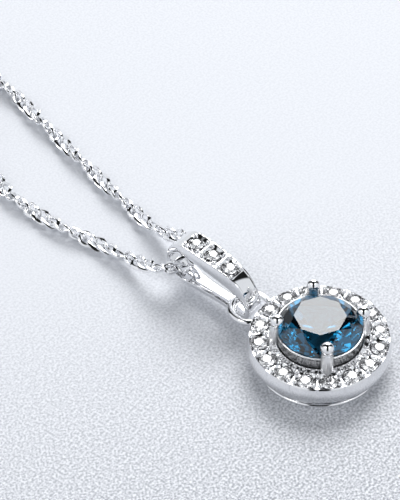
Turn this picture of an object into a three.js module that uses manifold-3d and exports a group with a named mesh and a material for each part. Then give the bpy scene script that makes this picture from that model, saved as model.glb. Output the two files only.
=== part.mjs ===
// A round halo pendant on its bail and its twisted curb chain, lying face up on a flat surface.
//
// Millimetres, +Z up. +Y runs from the pendant's head along the bail towards the chain. The
// origin is on the surface, under the middle of the pendant (head, hanging ring and bail).
// The chain lies loose: two runs leave the bail, and the rest of both is wound in one coil.

import * as THREE from 'three';
import { ConvexGeometry } from 'three/addons/geometries/ConvexGeometry.js';
import { mergeVertices } from 'three/addons/utils/BufferGeometryUtils.js';
import Module from 'manifold-3d';

const wasm = await Module();
wasm.setup();

// Driving dimensions.
const GAP = 0.03; // between pieces that touch, are soldered or are set in one another
const HEAD_Y = -4; // centre of the head along Y

const STONE_R = 3; // centre stone, a 6 mm round brilliant
const STONE_GIRDLE_Z = 3.56;

const HALO_OUTER_R = 5.14;
const HALO_INNER_R = 3.14;
const HALO_TOP_Z = 2.61; // at its inner edge; the face falls away outwards from there
const HALO_SLOPE = 5; // degrees
const HALO_BOTTOM_Z = 0.98;
const HALO_STONES = 16;
const HALO_STONE_R = 0.58;
const HALO_STONE_CIRCLE_R = 4.32;
const HALO_GIRDLE_Z = 2.47;

const CUP_R = HALO_INNER_R - GAP;
const CUP_RIM_Z = 3.53;

const PRONG_R = 0.45;
const PRONG_BASE_R = 3.2; // distance of a post's axis from the head's axis, at the halo's face
const PRONG_TIP_R = 3.06; // the same at the tip
const PRONG_TIP_Z = 4.62;
const PRONG_FOOT_Z = 1.6;

const GALLERY_R = 4.25; // base ring and scroll wire, at mid width
const GALLERY_WAVES = 8;
const GALLERY_WIRE_R = 0.16;

const RING_R = 1.45; // hanging ring, at the middle of its wire
const RING_WIRE_R = 0.28;
const RING_Y = 6.05; // from the head's axis to the ring's centre
const RING_Z = 1.6;

const BAIL_YAW = THREE.MathUtils.degToRad(-4);
const BAIL_STONE_R = 0.52;
const BAIL_STONES = [
  // along the bail, height of the girdle, slope of the strap there in degrees
  { y: 1.95, z: 4.36, tilt: 12 },
  { y: 3.55, z: 4.6, tilt: 5 },
  { y: 5.12, z: 4.68, tilt: 0 },
];
const BAIL_HALF_DEPTH = 1.2; // the loop is cut from a bar at least this wide each side

const CHAIN_D = 1.2;
const COIL_X = -1;
const COIL_Y = 37.8;
const COIL_OUTER_R = 10.2;
const COIL_INNER_R = 2.76;
const COIL_HEIGHT = 2 * CHAIN_D;

const CLASP_X = -13.3;
const CLASP_Y = 31.6;
const CLASP_R = 2.05; // at the middle of the clasp's tube
const CLASP_TUBE_R = 0.6;
const CLASP_BORE_R = 0.4;
const TONGUE_R = 0.33;
const EYELET_R = 0.56;
const EYELET_WIRE_R = 0.19;
const JUMP_RING_R = 0.75;
const JUMP_WIRE_R = 0.2;
const END_RING_R = 1.15;
const END_WIRE_R = 0.25;

const degrees = THREE.MathUtils.degToRad;

// Materials, one kind for each metal or stone.
const finishes = {
  polished: { color: 0xe6e7ea, roughness: 0.12, metalness: 1 },
  chain: { color: 0xdfe0e4, roughness: 0.2, metalness: 1 },
  spring: { color: 0xb8babd, roughness: 0.4, metalness: 1 },
  blueStone: { color: 0x0d3f66, roughness: 0.05, metalness: 0 },
  clearStone: { color: 0xf2f4f8, roughness: 0.05, metalness: 0 },
};

const pendant = new THREE.Group();
const head = new THREE.Group();
head.position.set(0, HEAD_Y, 0);
const bail = new THREE.Group();
bail.position.set(0, HEAD_Y + RING_Y, 0);
bail.rotation.z = BAIL_YAW;
const chain = new THREE.Group();
const clasp = new THREE.Group();
clasp.position.set(CLASP_X, CLASP_Y, 0);
pendant.add(head, bail, chain, clasp);

function addPiece(parent, name, geometry, finish) {
  const mesh = new THREE.Mesh(geometry, new THREE.MeshStandardMaterial(finishes[finish]));
  mesh.name = name;
  parent.add(mesh);
  return mesh;
}

// A closed mesh as a solid that can be joined and cut, and back again.
function solidOf(geometry) {
  const bare = geometry.clone();
  bare.deleteAttribute('normal');
  bare.deleteAttribute('uv');
  const welded = mergeVertices(bare, 1e-5);
  return new wasm.Manifold(new wasm.Mesh({
    numProp: 3,
    vertProperties: new Float32Array(welded.attributes.position.array),
    triVerts: new Uint32Array(welded.index.array),
  }));
}

function geometryOf(solid) {
  const mesh = solid.getMesh();
  const geometry = new THREE.BufferGeometry();
  geometry.setAttribute('position', new THREE.BufferAttribute(mesh.vertProperties, 3));
  geometry.setIndex(new THREE.BufferAttribute(mesh.triVerts, 1));
  return geometry;
}

// A body of revolution about Z, from [radius, height] pairs.
function turned(profile, segments) {
  const points = profile.map(([radius, height]) => new THREE.Vector2(radius, height));
  return new THREE.LatheGeometry(points, segments).rotateX(Math.PI / 2);
}

function regularShape(radius, sides) {
  const shape = new THREE.Shape();
  for (let i = 0; i < sides; i += 1) {
    const angle = (i * 2 * Math.PI) / sides;
    const x = radius * Math.cos(angle);
    const y = radius * Math.sin(angle);
    if (i === 0) shape.moveTo(x, y);
    else shape.lineTo(x, y);
  }
  shape.closePath();
  return shape;
}

function swept(shape, path, steps) {
  return new THREE.ExtrudeGeometry(shape, { steps, bevelEnabled: false, extrudePath: path });
}

// An arc about Z in the plane z = height, between two angles in degrees.
class Arc extends THREE.Curve {
  constructor(radius, from, to, height) {
    super();
    this.radius = radius;
    this.from = degrees(from);
    this.sweep = degrees(to - from);
    this.height = height;
  }

  getPoint(t, target = new THREE.Vector3()) {
    const angle = this.from + t * this.sweep;
    return target.set(this.radius * Math.cos(angle), this.radius * Math.sin(angle), this.height);
  }
}

// A round brilliant with its girdle at z = 0: a table, 8 stars, 8 bezels and 16 upper halves
// above, 16 lower halves and 8 mains below. Each bezel and each main is one flat kite, so the
// heights where kites meet follow from the slope of the facet.
function brilliantPoints(radius) {
  const table = 0.58 * radius;
  const crown = 0.33 * radius;
  const pavilion = 0.86 * radius;
  const girdle = 0.02 * radius;
  const star = 0.79 * radius;
  const half = 0.24 * radius;
  const between = Math.cos(Math.PI / 8);
  const starHeight = (crown * (radius - star * between)) / (radius - table);
  const halfDepth = pavilion * (1 - (half * between) / radius);
  const points = [new THREE.Vector3(0, 0, -girdle - pavilion)];
  const add = (r, angle, z) => {
    points.push(new THREE.Vector3(r * Math.cos(angle), r * Math.sin(angle), z));
  };
  for (let i = 0; i < 16; i += 1) {
    const angle = (i * Math.PI) / 8;
    add(radius, angle, girdle);
    add(radius, angle, -girdle);
    if (i % 2 === 0) {
      add(table, angle, girdle + crown);
    } else {
      add(star, angle, girdle + starHeight);
      add(half, angle, -girdle - halfDepth);
    }
  }
  return points;
}

function brilliant(radius) {
  return new ConvexGeometry(brilliantPoints(radius));
}

// The seat for a small stone, cut down through the metal: a cone under the girdle, and a
// light hole from there to the back. Its girdle is at z = 0.
function stoneSeat(radius, depth) {
  return solidOf(turned([
    [0, -depth],
    [0.25, -depth],
    [0.25, -0.88 * radius],
    [radius + GAP, -0.1 * radius],
    [radius + GAP, radius],
    [0, radius],
  ], 12));
}

// The head: halo, cup, four prongs, stones and scroll gallery.

// A prong is a straight post with a domed tip and a slightly flared foot, leaning in.
function prong(angle, grow) {
  const height = PRONG_TIP_Z - PRONG_FOOT_Z;
  const profile = [
    [0, -grow],
    [PRONG_R + 0.02 + grow, -grow],
    [PRONG_R + 0.02 + grow, HALO_TOP_Z - PRONG_FOOT_Z],
    [PRONG_R - 0.01 + grow, HALO_TOP_Z - PRONG_FOOT_Z + 0.35],
    [PRONG_R - 0.01 + grow, height - 0.15],
  ];
  const dome = PRONG_R + 0.02 + grow;
  for (let i = 0; i <= 4; i += 1) {
    const up = degrees(i * 22.5);
    profile.push([i === 4 ? 0 : dome * Math.cos(up), height + dome * Math.sin(up)]);
  }
  const lean = Math.atan((PRONG_BASE_R - PRONG_TIP_R) / (PRONG_TIP_Z - HALO_TOP_Z));
  const foot = PRONG_BASE_R + (HALO_TOP_Z - PRONG_FOOT_Z) * Math.tan(lean);
  return turned(profile, 12)
    .rotateY(-lean)
    .translate(foot, 0, PRONG_FOOT_Z)
    .rotateZ(angle);
}

const prongAngles = [45, 135, 225, 315].map(degrees);
const prongRoom = prongAngles
  .map((angle) => solidOf(prong(angle, GAP)))
  .reduce((all, one) => all.add(one));

let halo = solidOf(turned([
  [HALO_INNER_R, HALO_BOTTOM_Z + 0.04],
  [4.82, HALO_BOTTOM_Z],
  [5.02, 1.12],
  [5.11, 1.45],
  [HALO_OUTER_R, 1.78],
  [5.09, 2.08],
  [5, 2.29],
  [4.86, 2.46],
  [HALO_INNER_R, HALO_TOP_Z],
  [HALO_INNER_R, HALO_BOTTOM_Z + 0.04],
], 48));
halo = halo.subtract(prongRoom);
for (let i = 0; i < HALO_STONES; i += 1) {
  const angle = Math.PI / 2 - (i * 2 * Math.PI) / HALO_STONES;
  const x = HALO_STONE_CIRCLE_R * Math.cos(angle);
  const y = HALO_STONE_CIRCLE_R * Math.sin(angle);
  const seat = stoneSeat(HALO_STONE_R, 2).rotate([0, HALO_SLOPE, THREE.MathUtils.radToDeg(angle)]);
  halo = halo.subtract(seat.translate([x, y, HALO_GIRDLE_Z]));
  const stone = addPiece(head, `halo_stone_${i + 1}`, brilliant(HALO_STONE_R), 'clearStone');
  stone.position.set(x, y, HALO_GIRDLE_Z);
  stone.rotation.set(0, degrees(HALO_SLOPE), angle, 'ZYX');
}
addPiece(head, 'halo_frame', geometryOf(halo), 'polished');

const cup = solidOf(turned([
  [2.05, 1.05],
  [2.5, 1.05],
  [CUP_R, 2],
  [CUP_R, CUP_RIM_Z],
  [STONE_R + 0.03, CUP_RIM_Z],
  [2.45, 2],
  [2.05, 1.05],
], 48));
addPiece(head, 'basket', geometryOf(cup.subtract(prongRoom)), 'polished');

const centreStone = addPiece(head, 'centre_stone', brilliant(STONE_R), 'blueStone');
centreStone.position.set(0, 0, STONE_GIRDLE_Z + 0.06);
centreStone.rotation.z = degrees(22.5);

const stoneRoom = solidOf(brilliant(STONE_R * 1.02).rotateZ(degrees(22.5)))
  .translate([0, 0, STONE_GIRDLE_Z + 0.06]);
prongAngles.forEach((angle, i) => {
  const post = solidOf(prong(angle, 0)).subtract(stoneRoom);
  addPiece(head, `prong_${i + 1}`, geometryOf(post), 'polished');
});

// Under the halo a wire scrolls up and down on a flat base ring.
class ScrollWire extends THREE.Curve {
  getPoint(t, target = new THREE.Vector3()) {
    const angle = t * 2 * Math.PI;
    const rise = 0.22 * Math.cos(GALLERY_WAVES * angle);
    return target.set(GALLERY_R * Math.cos(angle), GALLERY_R * Math.sin(angle), 0.55 + rise);
  }
}
const baseRing = turned([
  [GALLERY_R - 0.2, 0],
  [GALLERY_R + 0.2, 0],
  [GALLERY_R + 0.27, 0.09],
  [GALLERY_R + 0.2, 0.3],
  [GALLERY_R - 0.2, 0.3],
  [GALLERY_R - 0.27, 0.09],
  [GALLERY_R - 0.2, 0],
], 48);
const scroll = new THREE.TubeGeometry(new ScrollWire(), 64, GALLERY_WIRE_R, 6, true);
addPiece(head, 'under_gallery', geometryOf(solidOf(baseRing).add(solidOf(scroll))), 'polished');

// The hanging ring lies flat, soldered to the halo's wall by its two ends.
const haloWall = solidOf(turned([
  [0, 0],
  [HALO_OUTER_R + GAP, 0],
  [HALO_OUTER_R + GAP, 4],
  [0, 4],
], 96));
const wholeRing = new THREE.TorusGeometry(RING_R, RING_WIRE_R, 10, 28);
const hangingRing = solidOf(wholeRing.translate(0, RING_Y, RING_Z)).subtract(haloWall);
addPiece(head, 'hanging_ring', geometryOf(hangingRing), 'polished');

// The bail, in its own frame: y = 0 is over the hanging ring's centre, and y grows towards
// the chain. One closed band: a front strap over the top, round the chain, and a thinner
// back strap that passes under the hanging ring's wire and up through the ring.

function smoothLoop(points, count) {
  const curve = new THREE.SplineCurve(points.map(([y, z]) => new THREE.Vector2(y, z)));
  return curve.getPoints(count);
}

const outerLoop = smoothLoop([
  [6.1, 0.87],
  [6.85, 1.3],
  [7.2, 2.3],
  [7.1, 3.4],
  [6.6, 4.3],
  [5.6, 4.74],
  [3.5, 4.64],
  [1.8, 4.37],
  [0.95, 4.08],
  [0.35, 3.62],
  [-0.05, 3.05],
  [-0.34, 2.4],
  [-0.42, 1.7],
  [-0.25, 1.08],
  [0.3, 0.87],
], 44);
const innerLoop = smoothLoop([
  [5.7, 1.27],
  [6.35, 1.48],
  [6.72, 2.1],
  [6.74, 2.8],
  [6.5, 3.4],
  [5.9, 3.74],
  [4.8, 3.74],
  [3.4, 3.52],
  [2.0, 3.15],
  [1.0, 2.75],
  [0.35, 2.3],
  [0.02, 1.8],
  [0.08, 1.42],
  [0.4, 1.27],
], 40);

// A shape drawn as (y, z), pulled to a bar across X.
function acrossBar(shape) {
  const bar = new THREE.ExtrudeGeometry(shape, { depth: 2 * BAIL_HALF_DEPTH, bevelEnabled: false });
  // the shape's x, y and depth become the bail's y, z and x
  bar.applyMatrix4(new THREE.Matrix4().set(
    0, 0, 1, -BAIL_HALF_DEPTH,
    1, 0, 0, 0,
    0, 1, 0, 0,
    0, 0, 0, 1,
  ));
  return solidOf(bar);
}

// A plan of [y, half width] pairs, between two heights.
function planBlock(halfWidths, low, high) {
  const right = halfWidths.map(([y, half]) => new THREE.Vector2(half, y));
  const left = halfWidths.map(([y, half]) => new THREE.Vector2(-half, y)).reverse();
  const block = new THREE.ExtrudeGeometry(new THREE.Shape([...right, ...left]), {
    depth: high - low,
    bevelEnabled: false,
  });
  return solidOf(block.translate(0, 0, low));
}

const band = acrossBar(new THREE.Shape(outerLoop)).subtract(acrossBar(new THREE.Shape(innerLoop)));
const frontPlan = planBlock([
  [-1, 0.7],
  [0.4, 0.7],
  [1.2, 0.75],
  [2.2, 0.85],
  [3.5, 0.94],
  [5.2, 0.97],
  [6.6, 0.9],
  [8, 0.88],
], 1.9, 6);
const backPlan = planBlock([
  [-1, 0.7],
  [0.4, 0.66],
  [2.4, 0.58],
  [5, 0.7],
  [6.6, 0.88],
  [8, 0.88],
], 0, 1.9);
let bailSolid = band.intersect(frontPlan.add(backPlan));
BAIL_STONES.forEach(({ y, z, tilt }, i) => {
  const seat = stoneSeat(BAIL_STONE_R, 0.62);
  bailSolid = bailSolid.subtract(seat.rotate([tilt, 0, 0]).translate([0, y, z]));
  const stone = addPiece(bail, `bail_stone_${i + 1}`, brilliant(BAIL_STONE_R), 'clearStone');
  stone.position.set(0, y, z);
  stone.rotation.x = degrees(tilt);
});
addPiece(bail, 'bail', geometryOf(bailSolid), 'polished');

// The chain. Two runs start in the middle of the bail's upper end and lie down on the surface.

const rightRoute = [
  [0.43, 7.84, 2.55],
  [0.9, 7.87, 2.55],
  [1.39, 7.99, 2.53],
  [1.82, 8.25, 2.48],
  [2.14, 8.64, 2.4],
  [2.32, 9.15, 2.27],
  [2.36, 10.1, 1.95],
  [2.45, 11.5, 1.4],
  [2.8, 13, 0.88],
  [3.35, 14.9, 0.61],
  [4.2, 18.1, 0.6],
  [5.3, 21.9, 0.6],
  [6.4, 25.6, 0.6],
  [7.5, 29.2, 0.6],
  [8.2, 32.1, 0.6],
];
const leftRoute = [
  [0.38, 7.84, 2.55],
  [-0.08, 7.91, 2.55],
  [-0.54, 8.11, 2.53],
  [-0.95, 8.44, 2.47],
  [-1.2, 8.88, 2.36],
  [-1.31, 9.4, 2.18],
  [-1.23, 10.3, 1.82],
  [-1.05, 11.6, 1.25],
  [-0.85, 13.1, 0.8],
  [-0.8, 14.9, 0.6],
  [-1.05, 17.6, 0.6],
  [-1.12, 20.7, 0.6],
  [-0.75, 23.7, 0.6],
  [0.05, 25.8, 0.6],
  [1.0, 27.3, 0.6],
];
const rightTail = [
  [-10.5, 43.2, 1.8],
  [-11.7, 42.1, 1.55],
  [-12.6, 40.7, 1.1],
  [-13.1, 39.2, 0.7],
  [-13.3, 37.9, 0.6],
  [-13.28, 36.55, 0.6],
];
const leftTail = [
  [-8.95, 30.3, 1.8],
  [-8.6, 28.9, 1.5],
  [-8.3, 27.6, 0.92],
  [-8.02, 26.5, 0.62],
  [-7.82, 25.72, 0.6],
];

function chainTube(route, steps) {
  const points = route.map(([x, y, z]) => new THREE.Vector3(x, y, z));
  const path = new THREE.CatmullRomCurve3(points, false, 'centripetal');
  return swept(regularShape(CHAIN_D / 2, 8), path, steps);
}

addPiece(chain, 'chain_right_run', chainTube(rightRoute, 26), 'chain');
addPiece(chain, 'chain_left_run', chainTube(leftRoute, 24), 'chain');
addPiece(chain, 'chain_right_tail', chainTube(rightTail, 6), 'chain');
addPiece(chain, 'chain_left_tail', chainTube(leftTail, 5), 'chain');

const coil = turned([
  [COIL_INNER_R, 0],
  [COIL_OUTER_R, 0],
  [COIL_OUTER_R, COIL_HEIGHT],
  [COIL_INNER_R, COIL_HEIGHT],
  [COIL_INNER_R, 0],
], 48);
coil.translate(COIL_X, COIL_Y, 0);
addPiece(chain, 'chain_coil', coil, 'chain');

// The spring ring clasp lies flat. Its tube is open for 50 degrees on the side away from the
// coil, and the tongue closes that gap. Angles are about the clasp's own axis, in degrees.
const TUBE_FROM = 205;
const TUBE_TO = 515;
const TONGUE_TIP = 151;
const TONGUE_TAIL = 232;
const KNOB_AT = 220;
const SLOT_FROM = 212;
const SLOT_TO = 276;
const SPRING_TO = 345;

const tubeShape = regularShape(CLASP_TUBE_R, 10);
tubeShape.holes.push(new THREE.Path(regularShape(CLASP_BORE_R, 10).getPoints().reverse()));
const tubePath = new Arc(CLASP_R, TUBE_FROM, TUBE_TO, CLASP_TUBE_R);
const slotShape = regularShape(0.37, 4);

const slotPath = new Arc(CLASP_R + CLASP_TUBE_R, SLOT_FROM, SLOT_TO, CLASP_TUBE_R);
const slot = solidOf(swept(slotShape, slotPath, 6));
const claspTube = solidOf(swept(tubeShape, tubePath, 26)).subtract(slot);
addPiece(clasp, 'clasp_ring', geometryOf(claspTube), 'polished');

const tonguePath = new Arc(CLASP_R, TONGUE_TIP, TONGUE_TAIL, CLASP_TUBE_R);
const tongue = solidOf(swept(regularShape(TONGUE_R, 8), tonguePath, 10));
const knob = turned([
  [0, 0],
  [0.12, 0],
  [0.12, 0.55],
  [0.24, 0.62],
  [0.26, 0.8],
  [0.16, 0.95],
  [0, 0.98],
], 8).rotateY(Math.PI / 2).translate(CLASP_R + 0.15, 0, CLASP_TUBE_R).rotateZ(degrees(KNOB_AT));
addPiece(clasp, 'clasp_trigger', geometryOf(tongue.add(solidOf(knob))), 'polished');

// The spring is a coil bent along the bore, drawn as the sleeve that it fills.
const springShape = regularShape(0.32, 8);
springShape.holes.push(new THREE.Path(regularShape(0.2, 8).getPoints().reverse()));
const springPath = new Arc(CLASP_R, TONGUE_TAIL + 1.5, SPRING_TO, CLASP_TUBE_R);
addPiece(clasp, 'clasp_spring', swept(springShape, springPath, 12), 'spring');

const eyeletY = CLASP_R + CLASP_TUBE_R + EYELET_R + EYELET_WIRE_R - 0.12;
const eyelet = new THREE.TorusGeometry(EYELET_R, EYELET_WIRE_R, 8, 20);
eyelet.translate(0, eyeletY, CLASP_TUBE_R);
const claspSide = solidOf(turned([
  [0, 0],
  [CLASP_R + CLASP_TUBE_R + GAP, 0],
  [CLASP_R + CLASP_TUBE_R + GAP, 2],
  [0, 2],
], 60));
addPiece(clasp, 'clasp_eyelet', geometryOf(solidOf(eyelet).subtract(claspSide)), 'polished');

// The jump ring stands on edge, through the eyelet and round the chain's last link.
const jumpZ = JUMP_RING_R + JUMP_WIRE_R;
const jumpY = CLASP_Y + eyeletY + Math.sqrt(JUMP_RING_R ** 2 - (jumpZ - CLASP_TUBE_R) ** 2);
const jumpRing = new THREE.TorusGeometry(JUMP_RING_R, JUMP_WIRE_R, 8, 20);
jumpRing.rotateY(Math.PI / 2).translate(CLASP_X, jumpY, jumpZ);
addPiece(chain, 'jump_ring', jumpRing, 'polished');

const endRing = new THREE.TorusGeometry(END_RING_R, END_WIRE_R, 8, 24);
endRing.translate(-7.72, 24.22, END_WIRE_R);
addPiece(chain, 'end_ring', endRing, 'polished');

export default pendant;
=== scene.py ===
import math

import bmesh
import bpy
import numpy as np
from mathutils import Matrix, Vector


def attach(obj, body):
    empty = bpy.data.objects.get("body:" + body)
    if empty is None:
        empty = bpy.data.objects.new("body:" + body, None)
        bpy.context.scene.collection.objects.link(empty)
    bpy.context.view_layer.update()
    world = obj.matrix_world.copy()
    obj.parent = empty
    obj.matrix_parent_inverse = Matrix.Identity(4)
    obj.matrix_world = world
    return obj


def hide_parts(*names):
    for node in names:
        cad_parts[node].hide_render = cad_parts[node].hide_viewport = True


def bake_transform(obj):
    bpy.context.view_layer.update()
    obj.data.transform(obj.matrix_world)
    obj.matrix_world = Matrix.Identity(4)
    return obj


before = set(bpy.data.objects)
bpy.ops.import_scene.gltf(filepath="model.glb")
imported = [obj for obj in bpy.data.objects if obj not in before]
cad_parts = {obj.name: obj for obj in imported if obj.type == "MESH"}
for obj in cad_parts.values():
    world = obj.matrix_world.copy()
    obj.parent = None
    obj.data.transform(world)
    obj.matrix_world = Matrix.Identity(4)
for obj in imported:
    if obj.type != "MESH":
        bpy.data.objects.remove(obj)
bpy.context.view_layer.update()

MM = 0.001


# --- The view ---------------------------------------------------------------------------
# The necklace is seen from above at three quarters, over the head's left front, through a
# long lens, so that lines which run away from the eye hardly close up.

view_target = Vector((3.21, 9.0, 0.55)) * MM
view_azimuth = math.radians(-52.9)
view_elevation = math.radians(46)
view_distance = 0.25

camera = bpy.data.objects.new("camera", bpy.data.cameras.new("camera"))
bpy.context.collection.objects.link(camera)
looking = Vector((
    -math.sin(view_azimuth) * math.cos(view_elevation),
    math.cos(view_azimuth) * math.cos(view_elevation),
    -math.sin(view_elevation),
))
camera.location = view_target - looking * view_distance
camera.rotation_mode = "QUATERNION"
camera.rotation_quaternion = looking.to_track_quat("-Z", "Y")
camera.data.sensor_width = 36
camera.data.lens = 246.4
camera.data.clip_start = 0.01
camera.data.clip_end = 5
bpy.context.scene.camera = camera


# --- The chain --------------------------------------------------------------------------
# A twisted curb chain of soldered oval links in rhodium-plated silver. Every link is bent
# out of flat, so that the next one lies against it, the row is filed flat on both faces,
# and the finished ribbon is twisted half a turn every few links so that it flashes.

link_wire = 0.155 * MM
link_half_length = 0.66 * MM
link_half_width = 0.445 * MM
link_pitch = 0.84 * MM
link_bend = math.radians(29)
link_flat = 0.1 * MM
half_twist = 4.9 * MM

# the routes of both runs and tails, in millimetres; both runs start in the bail's eye
right_route = [
    (0.43, 7.84, 2.55), (0.9, 7.87, 2.55), (1.39, 7.99, 2.53), (1.82, 8.25, 2.48),
    (2.14, 8.64, 2.4), (2.32, 9.15, 2.27), (2.36, 10.1, 1.95), (2.45, 11.5, 1.4),
    (2.8, 13, 0.88), (3.35, 14.9, 0.61), (4.2, 18.1, 0.6), (5.3, 21.9, 0.6),
    (6.4, 25.6, 0.6), (7.5, 29.2, 0.6), (8.2, 32.1, 0.6),
]
left_route = [
    (0.38, 7.84, 2.55), (-0.08, 7.91, 2.55), (-0.54, 8.11, 2.53), (-0.95, 8.44, 2.47),
    (-1.2, 8.88, 2.36), (-1.31, 9.4, 2.18), (-1.23, 10.3, 1.82), (-1.05, 11.6, 1.25),
    (-0.85, 13.1, 0.8), (-0.8, 14.9, 0.6), (-1.05, 17.6, 0.6), (-1.12, 20.7, 0.6),
    (-0.75, 23.7, 0.6), (0.05, 25.8, 0.6), (1.0, 27.3, 0.6),
]
right_tail = [
    (-10.5, 43.2, 1.8), (-11.7, 42.1, 1.55), (-12.6, 40.7, 1.1), (-13.1, 39.2, 0.7),
    (-13.3, 37.9, 0.6), (-13.28, 36.55, 0.6),
]
left_tail = [
    (-8.95, 30.3, 1.8), (-8.6, 28.9, 1.5), (-8.3, 27.6, 0.92), (-8.02, 26.5, 0.62),
    (-7.82, 25.72, 0.6),
]

coil_centre = Vector((-1, 37.8, 0))
coil_first_radius = 9.6
coil_step_out = 2.4
coil_turns = 2.1
coil_points_a_turn = 24
coil_low = 0.6
coil_high = 1.8
coil_climb = 90


def coil_points(inset, start, stop):
    """The wound stretch of one run, from one angle to another in degrees: in on the surface,
    up a step, and out again on top."""
    inner = 360 * coil_turns
    points = []
    count = round((stop - start) / 360 * coil_points_a_turn)
    for i in range(count + 1):
        angle = start + (stop - start) * i / count
        if angle < inner:
            turned = angle
        elif angle < inner + coil_climb:
            turned = inner
        else:
            turned = 2 * inner + coil_climb - angle
        rise = min(max((angle - inner) / coil_climb, 0), 1)
        rise = rise * rise * (3 - 2 * rise)
        radius = coil_first_radius - inset - coil_step_out * turned / 360
        along = math.radians(angle)
        points.append((
            coil_centre.x + radius * math.cos(along),
            coil_centre.y + radius * math.sin(along),
            coil_low + (coil_high - coil_low) * rise,
        ))
    return points


def smooth_path(points, spacing):
    """Points at an even spacing along a smooth curve through the given ones."""
    given = np.array(points)
    before = 2 * given[0] - given[1]
    after = 2 * given[-1] - given[-2]
    control = np.vstack([before, given, after])
    fine = []
    for i in range(1, len(control) - 2):
        p0, p1, p2, p3 = control[i - 1:i + 3]
        d0, d1, d2 = (max(np.linalg.norm(b - a) ** 0.5, 1e-6)
                      for a, b in ((p0, p1), (p1, p2), (p2, p3)))
        m1 = (p2 - p1) + d1 * ((p1 - p0) / d0 - (p2 - p0) / (d0 + d1))
        m2 = (p2 - p1) + d1 * ((p3 - p2) / d2 - (p3 - p1) / (d1 + d2))
        for u in np.linspace(0, 1, 12, endpoint=False):
            fine.append((2 * u**3 - 3 * u**2 + 1) * p1 + (u**3 - 2 * u**2 + u) * m1
                        + (3 * u**2 - 2 * u**3) * p2 + (u**3 - u**2) * m2)
    fine.append(given[-1])
    fine = np.array(fine)
    run = np.concatenate([[0], np.cumsum(np.linalg.norm(np.diff(fine, axis=0), axis=1))])
    count = max(round(run[-1] / spacing), 1)
    at = np.linspace(0, run[-1], count + 1)
    return np.column_stack([np.interp(at, run, fine[:, k]) for k in range(3)]), run[-1]


def link_shape():
    """One bent link about the origin, along X, filed flat on its two broad faces."""
    round_loop, round_wire = 28, 12
    points = []
    a, b, r = link_half_length, link_half_width, link_wire
    centre = []
    for i in range(round_loop):
        t = 2 * math.pi * i / round_loop
        x = a * math.copysign(abs(math.cos(t)) ** 0.8, math.cos(t))
        y = b * math.copysign(abs(math.sin(t)) ** 0.8, math.sin(t))
        bend = link_bend * x / a
        centre.append(Vector((x, y * math.cos(bend), y * math.sin(bend))))
    for i, here in enumerate(centre):
        along = (centre[(i + 1) % round_loop] - centre[i - 1]).normalized()
        bend = link_bend * here.x / a
        up = Vector((0, -math.sin(bend), math.cos(bend)))
        up -= along * up.dot(along)
        up.normalize()
        out = up.cross(along)
        for j in range(round_wire):
            s = 2 * math.pi * j / round_wire
            flat = max(-link_flat, min(link_flat, r * math.sin(s)))
            points.append(here + out * (r * math.cos(s)) + up * flat)
    faces = []
    for i in range(round_loop):
        for j in range(round_wire):
            k = (i + 1) % round_loop
            m = (j + 1) % round_wire
            faces.append((i * round_wire + j, i * round_wire + m,
                          k * round_wire + m, k * round_wire + j))
    return np.array(points), faces


def link_frames(path):
    """At each point a frame carried along without twisting: the way on, and two across."""
    steps = np.gradient(path, axis=0)
    steps /= np.linalg.norm(steps, axis=1)[:, None]
    across = np.cross((0, 0, 1), steps[0])
    across /= np.linalg.norm(across)
    frames = []
    for way in steps:
        across = across - way * across.dot(way)
        across /= np.linalg.norm(across)
        frames.append((way, across, np.cross(way, across)))
    return frames


def build_piece(name, vertices, faces, material, crisp=35):
    """A piece from points in metres: smooth, but crisp where faces meet at an angle."""
    mesh = bpy.data.meshes.new(name)
    mesh.from_pydata([tuple(v) for v in vertices], [], [tuple(f) for f in faces])
    mesh.update()
    work = bmesh.new()
    work.from_mesh(mesh)
    bmesh.ops.remove_doubles(work, verts=work.verts, dist=1e-4 * MM)
    bmesh.ops.recalc_face_normals(work, faces=work.faces)
    for face in work.faces:
        face.smooth = True
    for edge in work.edges:
        edge.smooth = edge.calc_face_angle(0) < math.radians(crisp)
    work.to_mesh(mesh)
    work.free()
    piece = bpy.data.objects.new(name, mesh)
    bpy.context.collection.objects.link(piece)
    mesh.materials.append(material)
    return piece


def silver_finish(name, tone, low, high, scratch):
    """Rhodium plate over silver: nearly neutral, with faint haze and fine polishing lines."""
    material = bpy.data.materials.new(name)
    material.use_nodes = True
    nodes, links = material.node_tree.nodes, material.node_tree.links
    shader = nodes["Principled BSDF"]
    shader.inputs["Metallic"].default_value = 1
    place = nodes.new("ShaderNodeTexCoord")
    haze = nodes.new("ShaderNodeTexNoise")
    haze.inputs["Scale"].default_value = 600
    haze.inputs["Detail"].default_value = 4
    links.new(place.outputs["Object"], haze.inputs["Vector"])
    tint = nodes.new("ShaderNodeValToRGB")
    tint.color_ramp.elements[0].position = 0.3
    tint.color_ramp.elements[0].color = (tone * 0.94, tone * 0.945, tone * 0.96, 1)
    tint.color_ramp.elements[1].position = 0.7
    tint.color_ramp.elements[1].color = (tone, tone, tone * 1.01, 1)
    links.new(haze.outputs["Fac"], tint.inputs["Fac"])
    links.new(tint.outputs["Color"], shader.inputs["Base Color"])
    gloss = nodes.new("ShaderNodeMapRange")
    gloss.inputs["To Min"].default_value = low
    gloss.inputs["To Max"].default_value = high
    links.new(haze.outputs["Fac"], gloss.inputs["Value"])
    links.new(gloss.outputs["Result"], shader.inputs["Roughness"])
    lines = nodes.new("ShaderNodeTexNoise")
    lines.inputs["Scale"].default_value = 9000
    lines.inputs["Detail"].default_value = 3
    links.new(place.outputs["Object"], lines.inputs["Vector"])
    bump = nodes.new("ShaderNodeBump")
    bump.inputs["Strength"].default_value = scratch
    bump.inputs["Distance"].default_value = 0.004 * MM
    links.new(lines.outputs["Fac"], bump.inputs["Height"])
    links.new(bump.outputs["Normal"], shader.inputs["Normal"])
    return material


chain_silver = silver_finish("chain_silver", 0.93, 0.06, 0.14, 0.15)


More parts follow.
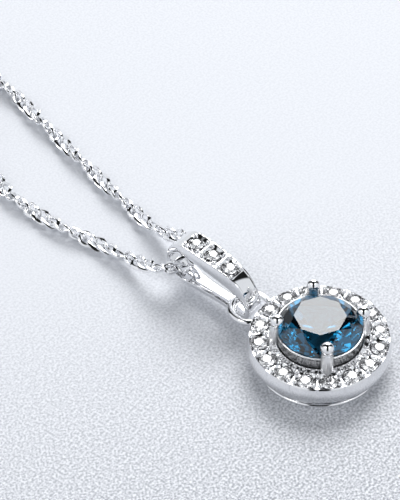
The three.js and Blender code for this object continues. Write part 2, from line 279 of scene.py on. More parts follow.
def make_chain(name, points, first_twist):
    """A chain of separate links along a route, as one piece."""
    path, length = smooth_path(np.array(points) * MM, link_pitch)
    middles = (path[1:] + path[:-1]) / 2
    frames = link_frames(middles)
    shape, shape_faces = link_shape()
    vertices = []
    faces = []
    for i, (middle, (way, across, up)) in enumerate(zip(middles, frames)):
        turn = first_twist - math.pi * i * (length / len(middles)) / half_twist
        side = across * math.cos(turn) + up * math.sin(turn)
        top = up * math.cos(turn) - across * math.sin(turn)
        base = len(vertices)
        for p in shape:
            vertices.append(middle + way * p[0] + side * p[1] + top * p[2])
        faces += [tuple(base + k for k in face) for face in shape_faces]
    return build_piece(name, vertices, faces, chain_silver), path, length


right_points = right_route + coil_points(inset=0, start=0, stop=1540) + right_tail
left_points = left_route + coil_points(inset=1.2, start=-60, stop=1595) + left_tail
chain_right, right_path, right_length = make_chain("chain_right", right_points, 1.2)
chain_left, left_path, left_length = make_chain("chain_left", left_points, 2.2)

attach(chain_right, "chain")
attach(chain_left, "chain")
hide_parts("chain_right_run", "chain_right_tail", "chain_coil")
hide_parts("chain_left_run", "chain_left_tail", "chain_coil")


# --- The halo ---------------------------------------------------------------------------
# A cast silver ring with a rounded, polished outer wall. Its face is cut square round each
# stone with bright bevels, the metal left between the stones is raised into beads that
# hold them, and there is a shallow flared recess behind each stone.

head_centre = Vector((0, -4, 0)) * MM
halo_inner, halo_outer = 3.16, 5.14
halo_stones = 16
halo_stone_circle = 4.32
halo_stone_radius = 0.58
halo_inner_height = 2.61
halo_slope = math.radians(5)
halo_stone_step = 2 * math.pi / halo_stones
halo_wall = 0.1

polished_silver = silver_finish("polished_silver", 0.87, 0.03, 0.08, 0.08)


def grid_faces(rows, columns, close_rows=True):
    """Four-sided faces of a grid of points whose columns close on themselves."""
    faces = []
    for i in range(rows if close_rows else rows - 1):
        for j in range(columns):
            k, m = (i + 1) % rows, (j + 1) % columns
            faces.append((i * columns + j, i * columns + m, k * columns + m, k * columns + j))
    return faces


def seat_height(u, v, stone, half_u, half_v, half_in, wall, dish):
    """Height of cut metal round a stone at the origin, above the girdle. wall is the height
    of the thin walls left between the square cuts, dish how far each cut slopes down."""
    out = math.hypot(u, v)
    half_v = half_v if v > 0 else half_in
    square = (abs(u / half_u) ** 8 + abs(v / half_v) ** 8) ** 0.125
    groove = 0.05
    groove_depth = 0.3
    seat_slope = 0.7
    if out < stone + groove:
        return -groove_depth - max(stone - out, 0) * seat_slope
    if square >= 1:
        return wall
    start = square * (stone + groove) / out
    return (wall + dish) * max(square - start, 0) / (1 - start) - dish


def halo_plane(radius):
    """Height of the stones' girdles, which fall away outwards with the halo's face."""
    return halo_inner_height - 0.04 - (radius - halo_inner) * math.tan(halo_slope)


def off_stone(angle):
    """How far round the halo an angle is from the nearest stone's middle."""
    step = halo_stone_step
    return (angle - math.pi / 2 + step / 2) % step - step / 2


def halo_face(angle, radius):
    """Height of the halo's face: square cuts round the stones, and a fluted inner edge."""
    flutes_a_stone = 5
    flute_depth = 0.14
    off = off_stone(angle)
    u = radius * math.sin(off)
    v = radius * math.cos(off) - halo_stone_circle
    cut = seat_height(u, v, halo_stone_radius, 0.8, 0.62, 0.7, halo_wall, 0.11)
    flute = abs(off / halo_stone_step * flutes_a_stone % 1 - 0.5) * 2
    inner_edge = min(1, max(0, (halo_stone_circle - 0.7 - radius) / 0.06))
    return halo_plane(radius) + cut - flute_depth * flute * inner_edge


def make_halo():
    """The halo's ring: its face, outer wall, back and inner wall, in lines of points."""
    around = halo_stones * 50
    across = 48
    face_inner, face_outer = halo_inner + 0.05, 4.97
    back_outer, back_inner, back_height = 4.8, 3.45, 0.98
    face = [face_inner + (face_outer - face_inner) * j / across for j in range(across + 1)]
    wall = [(5.02, 2.42), (5.065, 2.32), (5.1, 2.18), (5.13, 2.0), (halo_outer, 1.8),
            (5.13, 1.6), (5.11, 1.4), (5.07, 1.24), (5.0, 1.11), (4.9, 1.02),
            (back_outer, back_height)]
    back = [back_outer - (back_outer - back_inner) * (j + 1) / 16 for j in range(16)]
    inside = [(3.3, 0.99), (3.2, 1.03), (halo_inner, 1.1), (halo_inner, 1.5), (halo_inner, 2.0),
              (halo_inner, 2.5), (halo_inner + 0.02, 2.6)]
    vertices = []
    for i in range(around):
        angle = 2 * math.pi * i / around
        off = off_stone(angle)
        groove = max(0, 1 - (halo_stone_step / 2 - abs(off)) * 5.0 / 0.09)
        line = [(r, halo_face(angle, r)) for r in face]
        for j, (r, z) in enumerate(wall):
            cut = groove * 0.07 if j < 4 else 0
            line.append((r - cut, z - cut * 0.4))
        for r in back:
            hole = math.hypot(r * math.sin(off), r * math.cos(off) - halo_stone_circle + 0.2)
            line.append((r, back_height + 0.5 * max(0, min(1, (0.5 - hole) / 0.2))))
        line += inside
        for r, z in line:
            vertices.append(head_centre + Vector((r * math.cos(angle), r * math.sin(angle), z)) * MM)
    return vertices, grid_faces(around, len(line))


def bead(centre, along, size, vertices, faces, way_up=Vector((0, 0, 1))):
    """A raised bead of metal: an egg with its own length, width and height."""
    rings, around = 6, 12
    side = way_up.cross(along)
    base = len(vertices)
    vertices.append(centre - way_up * size[2])
    for i in range(1, rings):
        tilt = math.pi * i / rings
        for j in range(around):
            turn = 2 * math.pi * j / around
            vertices.append(centre + along * (size[0] * math.sin(tilt) * math.cos(turn))
                            + side * (size[1] * math.sin(tilt) * math.sin(turn))
                            - way_up * (size[2] * math.cos(tilt)))
    vertices.append(centre + way_up * size[2])
    last = len(vertices) - 1
    for j in range(around):
        k = (j + 1) % around
        faces.append((base, base + 1 + k, base + 1 + j))
        for i in range(rings - 2):
            a = base + 1 + i * around
            faces.append((a + j, a + k, a + around + k, a + around + j))
        a = base + 1 + (rings - 2) * around
        faces.append((a + j, a + k, last))


halo_vertices, halo_faces = make_halo()
for i in range(halo_stones):
    angle = math.pi / 2 + (i + 0.5) * halo_stone_step
    for radius, aside, size in ((3.4, 0.33, 0.13), (3.4, -0.33, 0.13), (3.83, 0, 0.22),
                                (4.7, 0.23, 0.2), (4.7, -0.23, 0.2)):
        turn = angle + aside / radius
        along = Vector((-math.sin(turn), math.cos(turn), 0))
        spot = Vector((radius * math.cos(turn), radius * math.sin(turn), halo_plane(radius) + 0.1))
        bead(head_centre + spot * MM, along, (size * MM, size * MM, size * MM),
             halo_vertices, halo_faces)
halo = build_piece("halo", halo_vertices, halo_faces, polished_silver)
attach(halo, "head")
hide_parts("halo_frame")


# --- The small stones -------------------------------------------------------------------
# Colourless round brilliants, about 1.2 mm in the halo and 1.0 mm in the bail, cut with a
# table, 32 crown facets and 24 pavilion facets. They are held by beads and bright-cut metal.

def gem_finish(name, colour, refraction, density, clear):
    """Clear crystal, faintly uneven in tone; a coloured one darkens with its depth."""
    material = bpy.data.materials.new(name)
    material.use_nodes = True
    nodes, links = material.node_tree.nodes, material.node_tree.links
    shader = nodes["Principled BSDF"]
    shader.inputs["Roughness"].default_value = 0
    shader.inputs["IOR"].default_value = refraction
    shader.inputs["Transmission Weight"].default_value = 1
    place = nodes.new("ShaderNodeTexCoord")
    zones = nodes.new("ShaderNodeTexNoise")
    zones.inputs["Scale"].default_value = 300
    links.new(place.outputs["Object"], zones.inputs["Vector"])
    tint = nodes.new("ShaderNodeValToRGB")
    tint.color_ramp.elements[0].color = (*[c * 0.94 for c in colour], 1)
    tint.color_ramp.elements[1].color = (*colour, 1)
    links.new(zones.outputs["Fac"], tint.inputs["Fac"])
    links.new(tint.outputs["Color"], shader.inputs["Base Color"])
    if density:
        depth = nodes.new("ShaderNodeVolumeAbsorption")
        depth.inputs["Color"].default_value = (*clear, 1)
        depth.inputs["Density"].default_value = density
        links.new(depth.outputs["Volume"], nodes["Material Output"].inputs["Volume"])
    return material


clear_stone = gem_finish("clear_stone", (0.99, 0.99, 1.0), 2.15, 0, None)
for place, count in (("halo", halo_stones), ("bail", 3)):
    for i in range(count):
        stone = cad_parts[f"{place}_stone_{i + 1}"]
        stone.data.materials.clear()
        stone.data.materials.append(clear_stone)


# --- The cup ----------------------------------------------------------------------------
# The centre stone sits in a turned silver cup soldered into the halo. Its wall stands
# proud of the halo and ends in a thin bright rim just under the stone's girdle.

def turn_profile(profile, around, centre):
    """A body of revolution about Z whose outline closes on itself."""
    vertices = []
    for i in range(around):
        angle = 2 * math.pi * i / around
        for r, z in profile:
            vertices.append(centre + Vector((r * math.cos(angle), r * math.sin(angle), z)) * MM)
    return vertices, grid_faces(around, len(profile))


cup_profile = [
    (2.05, 1.08), (2.08, 1.05), (2.45, 1.05), (2.52, 1.08), (2.8, 1.5), (3.02, 1.85),
    (3.08, 2.0), (3.1, 2.15), (3.1, 2.8), (3.1, 3.3), (3.12, 3.4), (3.14, 3.46), (3.14, 3.52),
    (3.12, 3.56), (3.06, 3.57), (3.03, 3.54), (2.9, 3.2), (2.5, 2.2), (2.42, 2.0), (2.1, 1.2),
]
cup_vertices, cup_faces = turn_profile(cup_profile, 128, head_centre)
# the cup's metal is given a darker tone than the other silver: a painted shade for the recess under
# the stone
shaded_cup_silver = silver_finish("shaded_cup_silver", 0.62, 0.2, 0.28, 0.1)
cup = build_piece("cup", cup_vertices, cup_faces, shaded_cup_silver)
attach(cup, "head")
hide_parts("basket")


# --- The prongs -------------------------------------------------------------------------
# Four straight round posts with domed, polished tips. Each is let into the cup's wall and
# flares a little where it is soldered to the halo. The stone's edge is bedded in it.

prong_radius = 0.44
prong_tip_radius = 0.49
prong_base_out, prong_tip_out = 3.2, 3.06
prong_tip_height = 4.62
prong_base_height = 2.6
prong_lean = math.atan((prong_base_out - prong_tip_out) / (prong_tip_height - prong_base_height))

# the posts keep a faint drawn grain, and only their tips are polished bright
prong_silver = silver_finish("prong_silver", 0.93, 0.03, 0.05, 0.05)
nodes, links = prong_silver.node_tree.nodes, prong_silver.node_tree.links
spot = nodes.new("ShaderNodeTexCoord")
height = nodes.new("ShaderNodeSeparateXYZ")
links.new(spot.outputs["Object"], height.inputs["Vector"])
stem = nodes.new("ShaderNodeMapRange")
stem.inputs["From Min"].default_value = 4.1 * MM
stem.inputs["From Max"].default_value = 4.5 * MM
stem.inputs["To Min"].default_value = 0.3
stem.inputs["To Max"].default_value = 0.04
links.new(height.outputs["Z"], stem.inputs["Value"])
links.new(stem.outputs["Result"], nodes["Principled BSDF"].inputs["Roughness"])


def prong_outline():
    """Radius and height from the foot, up the post, and over the dome of the tip."""
    outline = [(0.0, 1.6), (0.4, 1.62), (0.44, 1.7), (0.47, 2.5), (0.46, 2.62), (0.435, 2.8),
               (prong_radius, 3.0), (prong_radius, 3.4), (prong_radius, 3.8),
               (prong_radius, 4.15), (0.43, 4.3), (0.455, 4.45)]
    for i in range(9):
        up = math.radians(i * 90 / 8)
        radius = prong_tip_radius * math.cos(up)
        outline.append((max(radius, 0), prong_tip_height + prong_tip_radius * 0.98 * math.sin(up)))
    return outline


outline = prong_outline()
around = 32
lean = Matrix.Rotation(-prong_lean, 4, "Y")
hub = Vector((prong_base_out, 0, prong_base_height))
for number, bearing in enumerate((45, 135, 225, 315), start=1):
    vertices = []
    turn = Matrix.Rotation(math.radians(bearing), 4, "Z")
    for radius, height in outline[1:-1]:
        for i in range(around):
            angle = 2 * math.pi * i / around
            p = Vector((radius * math.cos(angle), radius * math.sin(angle),
                        height - prong_base_height))
            vertices.append(head_centre + (turn @ (lean @ p + hub)) * MM)
    rows = len(outline) - 2
    faces = grid_faces(rows, around, close_rows=False)
    for end, first in ((outline[0], 0), (outline[-1], (rows - 1) * around)):
        tip = len(vertices)
        p = Vector((0, 0, end[1] - prong_base_height))
        vertices.append(head_centre + (turn @ (lean @ p + hub)) * MM)
        faces += [(first + i, first + (i + 1) % around, tip) for i in range(around)]
    prong = build_piece(f"prong_post_{number}", vertices, faces, prong_silver)
    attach(prong, "head")
    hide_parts(f"prong_{number}")


# --- The centre stone -------------------------------------------------------------------
# A 6 mm round brilliant in deep teal blue. It is ground here facet by facet from a round
# blank: a broad octagonal table, stars, bezels and upper halves over a thin girdle, and
# mains and lower halves below that meet in a point.

blue_stone = gem_finish("blue_stone", (0.28, 0.68, 0.8), 1.77, 480, (0.02, 0.52, 0.66))


def cut_brilliant(name, radius, centre, turn, material):
    """A round brilliant with its girdle at the centre, turned about its own axis."""
    table, crown, pavilion, girdle = 0.62 * radius, 0.34 * radius, 0.86 * radius, 0.02 * radius
    star, half = 0.8 * radius, 0.24 * radius
    between = math.cos(math.pi / 8)
    star_height = crown * (radius - star * between) / (radius - table)
    half_depth = pavilion * (1 - half * between / radius)
    blank = bmesh.new()
    bmesh.ops.create_cone(blank, cap_ends=True, segments=160, radius1=radius * 0.998,
                          radius2=radius * 0.998, depth=3 * radius)

    def at(r, angle, z):
        return Vector((r * math.cos(angle), r * math.sin(angle), z))

    def grind(a, b, c):
        normal = (b - a).cross(c - a).normalized()
        if normal.dot(a) < 0:
            normal = -normal
        geometry = blank.verts[:] + blank.edges[:] + blank.faces[:]
        cut = bmesh.ops.bisect_plane(blank, geom=geometry, dist=1e-9, plane_co=a,
                                     plane_no=normal, clear_outer=True)
        edges = [e for e in cut["geom_cut"] if isinstance(e, bmesh.types.BMEdge)]
        bmesh.ops.contextual_create(blank, geom=edges)

    grind(*(at(MM, angle, girdle + crown) for angle in (0, 2, 4)))
    eighth = math.pi / 4
    for i in range(8):
        here, beside = i * eighth, (i + 0.5) * eighth
        grind(at(radius, here, girdle), at(table, here, girdle + crown),
              at(radius, here, girdle) + at(MM, here + math.pi / 2, 0))
        grind(at(radius, here, -girdle), at(0, 0, -girdle - pavilion),
              at(radius, here, -girdle) + at(MM, here + math.pi / 2, 0))
        grind(at(table, here, girdle + crown), at(table, here + eighth, girdle + crown),
              at(star, beside, girdle + star_height))
        for edge in (here, here + eighth):
            grind(at(star, beside, girdle + star_height), at(radius, edge, girdle),
                  at(radius, beside, girdle))
            grind(at(half, beside, -girdle - half_depth), at(radius, edge, -girdle),
                  at(radius, beside, -girdle))
    bmesh.ops.remove_doubles(blank, verts=blank.verts, dist=1e-7)
    for v in blank.verts:
        v.co = centre + Matrix.Rotation(turn, 3, "Z") @ v.co
    mesh = bpy.data.meshes.new(name)
    bmesh.ops.recalc_face_normals(blank, faces=blank.faces)
    blank.to_mesh(mesh)
    blank.free()
    piece = bpy.data.objects.new(name, mesh)
    bpy.context.collection.objects.link(piece)
    mesh.materials.append(material)
    return piece


brilliant = cut_brilliant("blue_brilliant", 3 * MM, head_centre + Vector((0, 0, 3.62 * MM)),
                          math.radians(-9), blue_stone)
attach(brilliant, "head")
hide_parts("centre_stone")


# --- The gallery ------------------------------------------------------------------------
# Under the halo a round wire scrolls up and down on a flat base ring, so that light
# reaches the stones from below. It is soldered at every crest and every foot.

def bent_wire(path, radius, around, closed, axis=(0, 0, 1)):
    """A round wire along a path: a loop about the axis, or open with plain cut ends."""
    path = np.array(path)
    count = len(path)
    if closed:
        steps = np.roll(path, -1, axis=0) - np.roll(path, 1, axis=0)
        steps /= np.linalg.norm(steps, axis=1)[:, None]
        frames = []
        for way in steps:
            out = np.cross(way, axis)
            out /= np.linalg.norm(out)
            frames.append((way, out, np.cross(way, out)))
    else:
        frames = link_frames(path)
    vertices = []
    for point, (way, out, up) in zip(path, frames):
        for j in range(around):
            turn = 2 * math.pi * j / around
            vertices.append(Vector(point + (out * math.cos(turn) + up * math.sin(turn)) * radius))
    faces = grid_faces(count, around, close_rows=closed)
    if not closed:
        faces += [tuple(range(around)), tuple(range((count - 1) * around, count * around))]
    return vertices, faces


def add_mesh(vertices, faces, more_vertices, more_faces):
    """Adds a second closed body to the same piece."""
    base = len(vertices)
    vertices += more_vertices
    faces += [tuple(base + k for k in face) for face in more_faces]


gallery_radius = 4.25
gallery_waves = 8
scroll_height, scroll_swing, scroll_wire = 0.55, 0.23, 0.15 * MM
base_profile = [
    (4.05, 0.0), (4.45, 0.0), (4.5, 0.03), (4.53, 0.1), (4.53, 0.18), (4.5, 0.25), (4.43, 0.3),
    (4.35, 0.31), (4.15, 0.31), (4.07, 0.3), (4.0, 0.25), (3.97, 0.18), (3.97, 0.1), (4.0, 0.03),
]
gallery_vertices, gallery_faces = turn_profile(base_profile, 128, head_centre)
scroll = []
for i in range(384):
    angle = 2 * math.pi * i / 384
    scroll.append(head_centre + Vector((
        gallery_radius * math.cos(angle),
        gallery_radius * math.sin(angle),
        scroll_height + scroll_swing * math.cos(gallery_waves * angle),
    )) * MM)
add_mesh(gallery_vertices, gallery_faces, *bent_wire(scroll, scroll_wire, 12, True))
gallery = build_piece("gallery", gallery_vertices, gallery_faces, polished_silver)
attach(gallery, "head")
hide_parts("under_gallery")


# --- The hanging ring -------------------------------------------------------------------
# A ring of round wire soldered flat against the halo's outer wall. The bail's lower end
# passes through it, so the head can swing.

ring_centre = Vector((0, -4 + 6.05, 1.6)) * MM
ring_radius, ring_wire = 1.45 * MM, 0.25 * MM
half_open = math.radians(37)
ring_path = []
for i in range(49):
    angle = -math.pi / 2 + half_open + (2 * math.pi - 2 * half_open) * i / 48
    ring_path.append(ring_centre + Vector((math.cos(angle), math.sin(angle), 0)) * ring_radius)
ring_vertices, ring_faces = bent_wire(ring_path, ring_wire, 16, False)
hanging_ring = build_piece("hanging_wire_ring", ring_vertices, ring_faces, polished_silver)
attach(hanging_ring, "head")
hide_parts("hanging_ring")


# --- The bail ---------------------------------------------------------------------------
# One cast band, closed on itself: a tapering front strap, the round upper end that the
# chain runs through, and a thin back strap that goes under the hanging ring's wire. The
# front carries three stones between raised side rims and, below a bright-cut bar, a plain
# polished panel that curls down into the ring.

bail_place = Matrix.Translation(Vector((0, 2.05, 0))) @ Matrix.Rotation(math.radians(-4), 4, "Z")
# outside y and z, inside y and z, half width, rows up to the next station
bail_stations = [
    (3.0, 0.87, 3.0, 1.27, 0.61, 6), (5.2, 0.87, 5.1, 1.27, 0.72, 6),
    (6.2, 0.93, 5.95, 1.33, 0.84, 6), (6.9, 1.4, 6.45, 1.64, 0.89, 8),
    (7.2, 2.3, 6.73, 2.25, 0.89, 8), (7.12, 3.35, 6.68, 3.05, 0.9, 8),
    (6.65, 4.25, 6.3, 3.55, 0.91, 20), (5.6, 4.74, 5.4, 3.76, 0.96, 48),
    (3.9, 4.68, 3.9, 3.62, 0.95, 46), (2.3, 4.48, 2.5, 3.3, 0.86, 36),
    (1.1, 4.15, 1.5, 2.97, 0.75, 16), (0.35, 3.62, 0.75, 2.58, 0.7, 12),
    (-0.1, 2.95, 0.25, 2.2, 0.7, 10), (-0.38, 2.2, 0.03, 1.85, 0.7, 8),
    (-0.38, 1.4, 0.06, 1.5, 0.7, 6), (0.0, 0.95, 0.35, 1.28, 0.68, 6),
    (1.2, 0.87, 1.3, 1.27, 0.63, 6),
]
bail_stones = [(1.95, 4.36), (3.55, 4.6), (5.12, 4.68)]
bail_stone_radius = 0.52


def closed_spline(stations):
    """Rows along a closed smooth curve through the stations, as many as each asks for."""
    values = np.array([s[:5] for s in stations])
    n = len(values)
    rows = []
    for i in range(n):
        p0, p1, p2, p3 = (values[(i + k - 1) % n] for k in range(4))
        for k in range(stations[i][5]):
            u = k / stations[i][5]
            rows.append(0.5 * ((2 * p1) + (p2 - p0) * u + (2 * p0 - 5 * p1 + 4 * p2 - p3) * u**2
                               + (3 * p1 - p0 - 3 * p2 + p3) * u**3))
    return rows


def front_relief(x, y, z, half):
    """Height of the front strap's face against its rims, in millimetres. x runs across."""
    rim = 0.11
    notch_spacing, notch_depth, notch_half_width = 0.5, 0.1, 0.07
    inside = half - rim
    if abs(x) > inside and 1.4 < y < 5.9 and z > 3:
        beside = abs((y - 1.22) % notch_spacing - notch_spacing / 2)
        return -notch_depth * max(0, 1 - beside / notch_half_width)
    if abs(x) > inside or z < 1.9 or y > 6.25:
        return 0
    if y < 1.24:
        fade = min(1, (z - 1.9) / 0.4) * min(1, (1.24 - y) / 0.05)
        edge = min(1, (inside - abs(x)) / 0.04)
        return fade * (0.045 * (1 - (x / inside) ** 2) - 0.06 * edge)
    if y < 1.32 or y > 5.95:
        return 0
    nearest = min(bail_stones, key=lambda s: abs(s[0] - y))
    wall = 0.03
    return seat_height(x, y - nearest[0], bail_stone_radius, inside, 0.74, 0.74, wall, 0.13) - wall


def make_bail():
    """The band: at each row, the outer face, one edge, the hollowed inner face, the other."""
    across = 48
    bevel = 0.045
    vertices = []
    rows = closed_spline(bail_stations)
    for y_out, z_out, y_in, z_in, half in rows:
        thick = Vector((0, y_out - y_in, z_out - z_in))
        way = thick / thick.length
        outer = Vector((0, y_out, z_out))
        inner = Vector((0, y_in, z_in))
        line = []
        for j in range(across + 1):
            x = -(half - bevel) + 2 * (half - bevel) * j / across
            line.append(outer + way * front_relief(x, y_out, z_out, half) + Vector((x, 0, 0)))
        line.append(outer - way * 0.013 + Vector((half - 0.013, 0, 0)))
        line.append(outer - way * bevel + Vector((half, 0, 0)))
        line.append((outer + inner) / 2 + Vector((half, 0, 0)))
        line.append(inner + way * 0.13 + Vector((half - 0.005, 0, 0)))
        for j in range(13):
            x = (half - 0.03) * (1 - 2 * j / 12)
            line.append(inner + way * 0.09 * (x / half) ** 2 + Vector((x, 0, 0)))
        line.append(inner + way * 0.13 + Vector((-half + 0.005, 0, 0)))
        line.append((outer + inner) / 2 + Vector((-half, 0, 0)))
        line.append(outer - way * bevel + Vector((-half, 0, 0)))
        line.append(outer - way * 0.013 + Vector((-half + 0.013, 0, 0)))
        vertices += [(bail_place @ p) * MM for p in line]
    return vertices, grid_faces(len(rows), len(line))


bail_vertices, bail_faces = make_bail()
across_bail = (bail_place.to_3x3() @ Vector((1, 0, 0))).normalized()
bead_size = (0.19 * MM, 0.17 * MM, 0.16 * MM)
for y, z, asides in ((1.22, 4.23, (0.17,)), (2.75, 4.58, (-0.2, 0.2)),
                     (4.34, 4.74, (-0.2, 0.2)), (5.86, 4.72, (-0.17,))):
    for x in (-0.56, 0.56):
        for aside in asides:
            spot = bail_place @ Vector((x, y + aside, z + 0.1 * aside))
            bead(spot * MM, across_bail, bead_size, bail_vertices, bail_faces)
bail = build_piece("bail_band", bail_vertices, bail_faces, polished_silver)
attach(bail, "bail")
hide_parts("bail")


# --- The clasp and the end rings --------------------------------------------------------
# A spring ring clasp: a hollow ring of silver tube, open on one side, whose gap is closed
# by a sprung tongue with a thumb knob. It hangs on a jump ring at one end of the chain, and
# closes on the plain ring at the other.

clasp_centre = Vector((-13.3, 31.6, 0.6))
clasp_radius, clasp_tube, clasp_bore = 2.05, 0.6, 0.42
clasp_silver = silver_finish("clasp_silver", 0.94, 0.04, 0.1, 0.1)
spring_steel = silver_finish("spring_wire", 0.72, 0.18, 0.3, 0.2)


def arc_path(centre, radius, start, stop, steps, axis="Z"):
    """Points along an arc about an axis through the centre, in metres."""
    points = []
    for i in range(steps + 1):
        angle = math.radians(start + (stop - start) * i / steps)
        offset = Vector((math.cos(angle), math.sin(angle), 0))
        if axis == "X":
            offset = Vector((0, offset.x, offset.y))
        points.append((centre + offset * radius) * MM)
    return points


def cut_away(piece, cutter, operation="DIFFERENCE"):
    """Cuts the cutter's shape out of the piece, or with UNION joins it on."""
    change = piece.modifiers.new("cut", "BOOLEAN")
    change.operation = operation
    change.solver = "EXACT"
    change.object = cutter
    shaped = bpy.data.meshes.new_from_object(
        piece.evaluated_get(bpy.context.evaluated_depsgraph_get()))
    piece.modifiers.clear()
    piece.data = shaped
    bpy.data.objects.remove(cutter)


tube = build_piece("clasp_tube", *bent_wire(
    arc_path(clasp_centre, clasp_radius, 205, 515, 96), clasp_tube * MM, 32, False), clasp_silver)
cut_away(tube, build_piece("bore", *bent_wire(
    arc_path(clasp_centre, clasp_radius, 200, 520, 96), clasp_bore * MM, 24, False), clasp_silver))
cut_away(tube, build_piece("thumb_slot", *bent_wire(
    arc_path(clasp_centre, clasp_radius + clasp_tube, 212, 276, 30), 0.3 * MM, 16, False),
    clasp_silver))

tongue = build_piece("clasp_tongue", *bent_wire(
    arc_path(clasp_centre, clasp_radius, 151, 232, 28), 0.33 * MM, 20, False), clasp_silver)
knob_profile = [(0, 0), (0.12, 0), (0.12, 0.5), (0.16, 0.56), (0.23, 0.6), (0.26, 0.68),
                (0.265, 0.78), (0.24, 0.88), (0.18, 0.95), (0.09, 0.98), (0, 0.985)]
knob_vertices, knob_faces = turn_profile(knob_profile, 24, Vector((0, 0, 0)))
knob_place = (Matrix.Translation(clasp_centre * MM) @ Matrix.Rotation(math.radians(220), 4, "Z")
              @ Matrix.Translation(Vector((clasp_radius + 0.15, 0, 0)) * MM)
              @ Matrix.Rotation(math.pi / 2, 4, "Y"))
cut_away(tongue, build_piece("knob", [knob_place @ v for v in knob_vertices], knob_faces,
                             clasp_silver), "UNION")

# the spring starts at the tongue's end and its far end rests in the tube
spring_coils, steps_a_coil = 18, 16
spring_start, spring_stop = 233.5, 345
spring_radius = 0.29
spring_path = []
for i in range(spring_coils * steps_a_coil + 1):
    along = math.radians(spring_start + (spring_stop - spring_start) * i
                         / (spring_coils * steps_a_coil))
    turn = 2 * math.pi * i / steps_a_coil
    radius = clasp_radius + spring_radius * math.cos(turn)
    spring_path.append((clasp_centre + Vector((
        radius * math.cos(along), radius * math.sin(along),
        spring_radius * math.sin(turn)))) * MM)
spring = build_piece("coil_spring", *bent_wire(spring_path, 0.06 * MM, 8, False), spring_steel)

eyelet = build_piece("eyelet", *bent_wire(
    arc_path(clasp_centre + Vector((0, 3.28, 0)), 0.56, 0, 360, 48)[:-1], 0.19 * MM, 16, True),
    clasp_silver)
jump_loop = build_piece("jump_wire_ring", *bent_wire(
    arc_path(Vector((-13.3, 35.543, 0.95)), 0.75, 94, 450, 60, "X"), 0.2 * MM, 16, False),
    clasp_silver)
end_loop = build_piece("end_wire_ring", *bent_wire(
    arc_path(Vector((-7.72, 24.22, 0.25)), 1.15, 0, 360, 72)[:-1], 0.25 * MM, 16, True),
    clasp_silver)

for piece, body, node, slot in (
    (tube, "clasp", "clasp_ring", "clasp_silver"),
    (tongue, "trigger", "clasp_trigger", "clasp_silver"),
    (eyelet, "clasp", "clasp_eyelet", "clasp_silver"),
    (jump_loop, "chain", "jump_ring", "clasp_silver"),
    (end_loop, "chain", "end_ring", "clasp_silver"),
):
    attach(piece, body)
    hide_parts(node)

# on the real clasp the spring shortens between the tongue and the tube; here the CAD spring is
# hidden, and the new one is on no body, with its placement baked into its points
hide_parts("clasp_spring")
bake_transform(spring)


# --- The table and the light ------------------------------------------------------------
# The necklace lies on a plain pale board with a fine sandy grain. Three soft boxes stand
# round it: the strongest beyond it, a little to the right, and two weaker ones in front.

floor_mesh = bpy.data.meshes.new("floor")
floor_mesh.from_pydata([(-2, -2, 0), (2, -2, 0), (2, 2, 0), (-2, 2, 0)], [], [(0, 1, 2, 3)])
floor = bpy.data.objects.new("floor", floor_mesh)
bpy.context.collection.objects.link(floor)

board = bpy.data.materials.new("pale_board")
board.use_nodes = True
nodes, links = board.node_tree.nodes, board.node_tree.links
board_shader = nodes["Principled BSDF"]
board_shader.inputs["Roughness"].default_value = 0.6
board_place = nodes.new("ShaderNodeTexCoord")
grain = nodes.new("ShaderNodeTexNoise")
grain.inputs["Scale"].default_value = 5500
grain.inputs["Detail"].default_value = 3
links.new(board_place.outputs["Object"], grain.inputs["Vector"])
board_tint = nodes.new("ShaderNodeValToRGB")
board_tint.color_ramp.elements[0].position = 0.36
board_tint.color_ramp.elements[0].color = (0.35, 0.365, 0.405, 1)
board_tint.color_ramp.elements[1].position = 0.64
board_tint.color_ramp.elements[1].color = (0.93, 0.945, 0.99, 1)
links.new(grain.outputs["Fac"], board_tint.inputs["Fac"])
# painted light: the board's colour runs from a flat pale tone on the far side, where the grain is
# washed out as if by bright light, to a darker, grainier tone toward the near side and a little to
# the right, which is a painted shade
across_board = nodes.new("ShaderNodeVectorMath")
across_board.operation = "DOT_PRODUCT"
across_board.inputs[1].default_value = (-0.53, -0.85, 0)
links.new(board_place.outputs["Object"], across_board.inputs[0])
grain_and_shade_amount = nodes.new("ShaderNodeMapRange")
grain_and_shade_amount.inputs["From Min"].default_value = -12 * MM
grain_and_shade_amount.inputs["From Max"].default_value = 14 * MM
grain_and_shade_amount.inputs["To Min"].default_value = 0.12
grain_and_shade_amount.inputs["To Max"].default_value = 1
links.new(across_board.outputs["Value"], grain_and_shade_amount.inputs["Value"])
washed_out_or_shaded_board = nodes.new("ShaderNodeMixRGB")
washed_out_or_shaded_board.inputs["Color1"].default_value = (0.765, 0.785, 0.83, 1)
links.new(grain_and_shade_amount.outputs["Result"], washed_out_or_shaded_board.inputs["Fac"])
links.new(board_tint.outputs["Color"], washed_out_or_shaded_board.inputs["Color2"])
links.new(washed_out_or_shaded_board.outputs["Color"], board_shader.inputs["Base Color"])
board_bump = nodes.new("ShaderNodeBump")
board_bump.inputs["Strength"].default_value = 0.25
board_bump.inputs["Distance"].default_value = 0.05 * MM
links.new(grain.outputs["Fac"], board_bump.inputs["Height"])
links.new(board_bump.outputs["Normal"], board_shader.inputs["Normal"])
floor_mesh.materials.append(board)

away = Vector((0.798, 0.603, 0))
rightward = Vector((0.603, -0.798, 0))


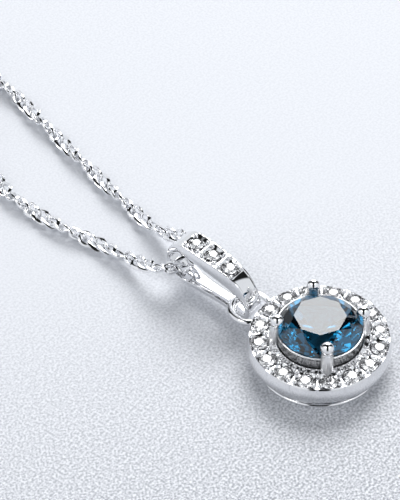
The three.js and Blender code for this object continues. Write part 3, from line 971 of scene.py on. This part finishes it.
def soft_box(name, across, deep, height, width, length, brightness):
    """A rectangular soft light aimed at the head. across and deep are along the floor."""
    light = bpy.data.lights.new(name, "AREA")
    light.shape = "RECTANGLE"
    light.size = width
    light.size_y = length
    light.energy = brightness * math.pi * width * length
    lamp = bpy.data.objects.new(name, light)
    bpy.context.collection.objects.link(lamp)
    lamp.location = rightward * across + away * deep + Vector((0, 0, height))
    lamp.rotation_mode = "QUATERNION"
    lamp.rotation_quaternion = (-lamp.location).to_track_quat("-Z", "Y")


soft_box("soft_box_beyond", 0.06, 0.34, 0.36, 0.37, 0.28, 5.8)
soft_box("soft_box_left", -0.25, -0.19, 0.39, 0.13, 0.13, 4.5)
soft_box("soft_box_right", 0.26, -0.18, 0.39, 0.11, 0.11, 3.5)

# the tent round it: three white panels, with narrow dark seams where they meet
world = bpy.data.worlds.new("studio")
bpy.context.scene.world = world
world.use_nodes = True
nodes, links = world.node_tree.nodes, world.node_tree.links


def maths(operation, first, second=None):
    """A maths node of the world's material on one or two values or sockets."""
    node = nodes.new("ShaderNodeMath")
    node.operation = operation
    for socket, value in zip(node.inputs, (first, second)):
        if isinstance(value, (int, float)):
            socket.default_value = value
        elif value is not None:
            links.new(value, socket)
    return node.outputs["Value"]


ways = nodes.new("ShaderNodeTexCoord")
split = nodes.new("ShaderNodeSeparateXYZ")
links.new(ways.outputs["Generated"], split.inputs["Vector"])
bearing = maths("ARCTAN2", split.outputs["Y"], split.outputs["X"])
seam_bearing = math.atan2(-away.y, -away.x)
past_seam = maths("SUBTRACT", bearing, seam_bearing)
wave = maths("ABSOLUTE", maths("SINE", maths("MULTIPLY", past_seam, 1.5)))
upward = maths("MULTIPLY", split.outputs["Z"], split.outputs["Z"])
level = maths("SQRT", maths("SUBTRACT", 1, upward))
panel = nodes.new("ShaderNodeMapRange")
panel.interpolation_type = "SMOOTHSTEP"
panel.inputs["From Min"].default_value = 0.3
panel.inputs["From Max"].default_value = 0.44
panel.inputs["To Min"].default_value = 0.015
panel.inputs["To Max"].default_value = 0.9
links.new(maths("MULTIPLY", wave, level), panel.inputs["Value"])
backdrop = nodes["Background"]
backdrop.inputs["Color"].default_value = (0.93, 0.96, 1, 1)
links.new(panel.outputs["Result"], backdrop.inputs["Strength"])
bpy.context.scene.view_settings.view_transform = "Standard"
